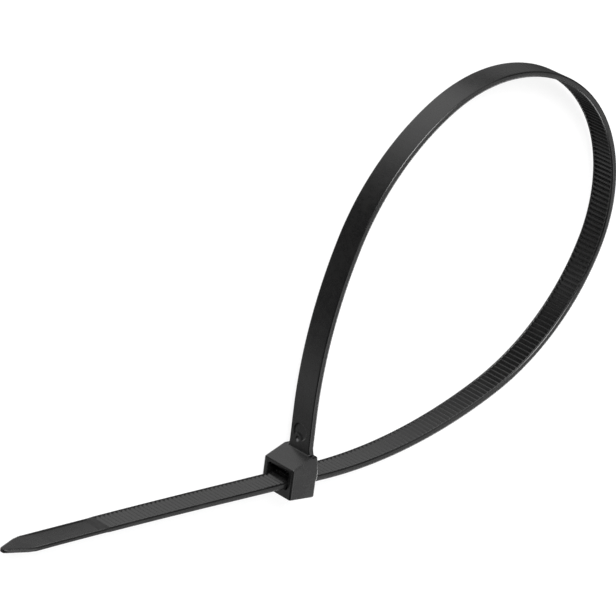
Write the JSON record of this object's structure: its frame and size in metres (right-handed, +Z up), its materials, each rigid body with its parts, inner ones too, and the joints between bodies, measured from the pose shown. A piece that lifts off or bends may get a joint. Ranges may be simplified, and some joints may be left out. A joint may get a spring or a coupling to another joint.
{
  "type": "cable tie",
  "caption": "One-piece ratchet cable tie closed in a loop: toothed band held in a locking head, with a free pointed tail.",
  "frame": {"origin": "middle of the footprint of the closed tie, lying on its side, at the surface that it lies on", "axes": "+Z up, across the width of the band; +X along the slot of the head, from the tail's point towards the loop; +Y from the slot towards the top of the loop"},
  "size_m": [0.1275, 0.0704, 0.0075],
  "materials": {
    "nylon": "satin black moulded nylon"
  },
  "bodies": {
    "root": {"cable_tie": "nylon"}
  },
  "joints": []
}
